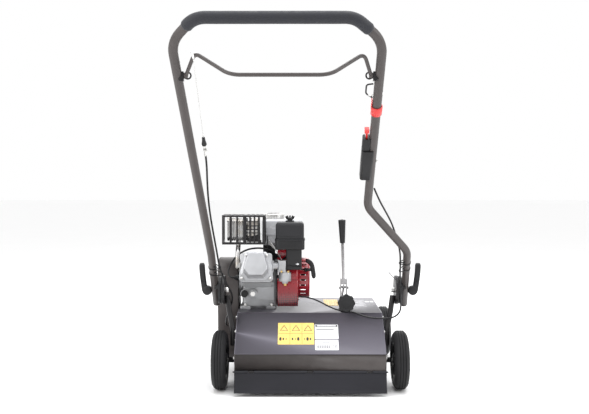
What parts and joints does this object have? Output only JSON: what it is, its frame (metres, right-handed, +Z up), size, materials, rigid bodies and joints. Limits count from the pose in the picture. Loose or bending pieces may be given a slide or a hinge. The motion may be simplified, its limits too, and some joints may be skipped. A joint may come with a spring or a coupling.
{
  "type": "lawn scarifier",
  "caption": "Walk-behind petrol lawn scarifier with steel deck, belt-driven blade rotor, folding tube handle with clutch bail, and height lever.",
  "frame": {"origin": "on the ground under the middle of the deck", "axes": "+X to the operator's right, +Y forward, +Z up"},
  "size_m": [0.7864, 1.4675, 1.1427],
  "materials": {
    "deck_paint": "satin powder coat",
    "handle_paint": "satin powder coat",
    "black_steel": "satin black",
    "flap_rubber": "matt",
    "foam": "fine matt foam",
    "tyre": "matt",
    "cast_alloy": "cast, painted silver",
    "red_cover": "gloss red",
    "tank_white": "gloss off-white",
    "bright_steel": "zinc plated",
    "plain_steel": "bare",
    "black_plastic": "moulded",
    "red_plastic": "moulded",
    "cable_black": "smooth"
  },
  "bodies": {
    "chassis": {"deck_housing": "deck_paint", "flap_rod": "black_steel", "rotor_bearings": "plain_steel", "drive_belt": "flap_rubber", "belt_cover": "deck_paint", "rear_axle": "bright_steel", "depth_brackets": "black_steel", "crankcase": "cast_alloy", "cylinder_head": "cast_alloy", "valve_cover": "cast_alloy", "engine_bolts": "bright_steel", "fan_cover": "red_cover", "recoil_housing": "red_cover", "muffler": "bright_steel", "muffler_guard": "black_steel", "fuel_tank": "tank_white", "engine_brackets": "black_steel", "carburetor": "cast_alloy", "air_cleaner_base": "black_plastic", "air_cleaner_cover": "black_plastic", "spark_lead": "cable_black", "handle_struts": "black_steel"},
    "rotor": {"rotor_shaft": "plain_steel", "rotor_blades": "plain_steel", "rotor_pulley": "plain_steel"},
    "crank": {"crankshaft": "plain_steel", "engine_pulley": "plain_steel"},
    "idler_arm": {"idler_arm": "plain_steel"},
    "idler_pulley": {"idler_pulley": "black_plastic"},
    "rear_left_wheel": {"rear_left_wheel": "tyre"},
    "rear_right_wheel": {"rear_right_wheel": "tyre"},
    "front_axle": {"front_axle_carrier": "black_steel"},
    "front_left_wheel": {"front_left_wheel": "tyre"},
    "front_right_wheel": {"front_right_wheel": "tyre"},
    "height_lever": {"height_lever": "plain_steel"},
    "lift_link": {"lift_link": "plain_steel"},
    "depth_knob": {"depth_knob": "black_plastic"},
    "rear_flap": {"rear_flap": "flap_rubber"},
    "starter_grip": {"starter_grip": "black_plastic", "starter_rope": "black_plastic"},
    "recoil_reel": {"recoil_reel": "black_plastic"},
    "fuel_cap": {"fuel_cap": "bright_steel"},
    "wing_nut": {"wing_nut": "black_plastic"},
    "choke_lever": {"choke_lever": "black_plastic"},
    "oil_dipstick": {"oil_dipstick": "black_plastic"},
    "handle": {"handle_tube": "handle_paint", "foam_grip": "foam", "handle_discs": "black_plastic", "bail_brackets": "black_steel", "clutch_wire": "bright_steel", "clutch_cable": "cable_black", "cable_fittings": "bright_steel", "throttle_housing": "black_plastic", "red_clip": "red_plastic", "throttle_cable": "cable_black", "cable_ties": "cable_black"},
    "left_clamp": {"left_clamp": "black_plastic"},
    "right_clamp": {"right_clamp": "black_plastic"},
    "bail": {"bail": "handle_paint"},
    "throttle_lever": {"throttle_lever": "red_plastic"}
  },
  "joints": [
    {"name": "rear_left_wheel_spin", "type": "hinge", "parent": "chassis", "child": "rear_left_wheel", "pos_m": [-0.313, -0.212, 0.1015], "axis": [1, 0, 0], "continuous": true},
    {"name": "rear_right_wheel_spin", "type": "hinge", "parent": "chassis", "child": "rear_right_wheel", "pos_m": [0.313, -0.212, 0.1015], "axis": [1, 0, 0], "continuous": true},
    {"name": "front_axle_swing", "type": "hinge", "parent": "chassis", "child": "front_axle", "pos_m": [0, 0.285, 0.12], "axis": [1, 0, 0], "range_deg": [0, 30]},
    {"name": "front_left_wheel_spin", "type": "hinge", "parent": "front_axle", "child": "front_left_wheel", "pos_m": [-0.313, 0.341, 0.1015], "axis": [1, 0, 0], "continuous": true},
    {"name": "front_right_wheel_spin", "type": "hinge", "parent": "front_axle", "child": "front_right_wheel", "pos_m": [0.313, 0.341, 0.1015], "axis": [1, 0, 0], "continuous": true},
    {"name": "height_lever_tilt", "type": "hinge", "parent": "chassis", "child": "height_lever", "pos_m": [0.124, -0.09, 0.28], "axis": [1, 0, 0], "range_deg": [0, 30]},
    {"name": "lift_link_pivot", "type": "hinge", "parent": "height_lever", "child": "lift_link", "pos_m": [0.124, -0.09, 0.34], "axis": [1, 0, 0], "range_deg": [-30, 0]},
    {"name": "depth_knob_turn", "type": "hinge", "parent": "chassis", "child": "depth_knob", "pos_m": [0.1284, -0.18, 0.2956], "axis": [0, 1, 0], "continuous": true},
    {"name": "rotor_spin", "type": "hinge", "parent": "chassis", "child": "rotor", "pos_m": [0, 0.02, 0.13], "axis": [1, 0, 0], "continuous": true},
    {"name": "crank_spin", "type": "hinge", "parent": "chassis", "child": "crank", "pos_m": [-0.2, 0.005, 0.363], "axis": [1, 0, 0], "continuous": true},
    {"name": "idler_arm_swing", "type": "hinge", "parent": "chassis", "child": "idler_arm", "pos_m": [-0.283, 0.018, 0.19], "axis": [-1, 0, 0], "range_deg": [0, 3.6]},
    {"name": "idler_pulley_spin", "type": "hinge", "parent": "idler_arm", "child": "idler_pulley", "pos_m": [-0.3, 0.021, 0.245], "axis": [1, 0, 0], "continuous": true},
    {"name": "flap_swing", "type": "hinge", "parent": "chassis", "child": "rear_flap", "pos_m": [0, -0.3054, 0.08], "axis": [-1, 0, 0], "range_deg": [0, 75]},
    {"name": "starter_pull", "type": "slide", "parent": "chassis", "child": "starter_grip", "axis": [0, -1, 0], "range_m": [0, 0.5], "stiffness_N_per_m": 10, "springref_m": -1, "deforming": ["starter_rope"]},
    {"name": "recoil_spin", "type": "hinge", "parent": "chassis", "child": "recoil_reel", "pos_m": [-0.023, 0.005, 0.363], "axis": [1, 0, 0], "range_deg": [0, 760]},
    {"name": "fuel_cap_turn", "type": "hinge", "parent": "chassis", "child": "fuel_cap", "pos_m": [-0.134, 0.062, 0.59], "axis": [0, 0, 1], "range_deg": [0, 110]},
    {"name": "wing_nut_turn", "type": "hinge", "parent": "chassis", "child": "wing_nut", "pos_m": [-0.0705, -0.096, 0.585], "axis": [0, 0, 1], "continuous": true},
    {"name": "choke_turn", "type": "hinge", "parent": "chassis", "child": "choke_lever", "pos_m": [-0.072, -0.144, 0.416], "axis": [0, -1, 0], "range_deg": [0, 60]},
    {"name": "dipstick_turn", "type": "hinge", "parent": "chassis", "child": "oil_dipstick", "pos_m": [-0.236, -0.07, 0.313], "axis": [0, 1, 0], "continuous": true},
    {"name": "handle_fold", "type": "hinge", "parent": "chassis", "child": "handle", "pos_m": [0, -0.2, 0.345], "axis": [1, 0, 0], "range_deg": [-100, 12], "deforming": ["clutch_cable", "throttle_cable"]},
    {"name": "left_clamp_turn", "type": "hinge", "parent": "handle", "child": "left_clamp", "pos_m": [-0.352, -0.2, 0.345], "axis": [1, 0, 0], "range_deg": [0, 150]},
    {"name": "right_clamp_turn", "type": "hinge", "parent": "handle", "child": "right_clamp", "pos_m": [0.352, -0.2, 0.345], "axis": [1, 0, 0], "range_deg": [0, 150]},
    {"name": "bail_lift", "type": "hinge", "parent": "handle", "child": "bail", "pos_m": [0, -0.868, 1], "axis": [-1, 0, 0], "range_deg": [0, 50], "stiffness_Nm_per_rad": 0.8, "deforming": ["clutch_wire"]},
    {"name": "throttle_lever_tilt", "type": "hinge", "parent": "handle", "child": "throttle_lever", "pos_m": [0.152, -0.7003, 0.8367], "axis": [-1, 0, 0], "range_deg": [0, 50]}
  ],
  "couplings": [
    {"joint": "height_lever_tilt", "follows": "front_axle_swing", "ratio": 1},
    {"joint": "lift_link_pivot", "follows": "front_axle_swing", "ratio": -1},
    {"joint": "crank_spin", "follows": "rotor_spin", "ratio": 1.2},
    {"joint": "idler_arm_swing", "follows": "bail_lift", "ratio": 0.072},
    {"joint": "recoil_spin", "follows": "starter_pull", "rad_per_m": 26.316}
  ]
}
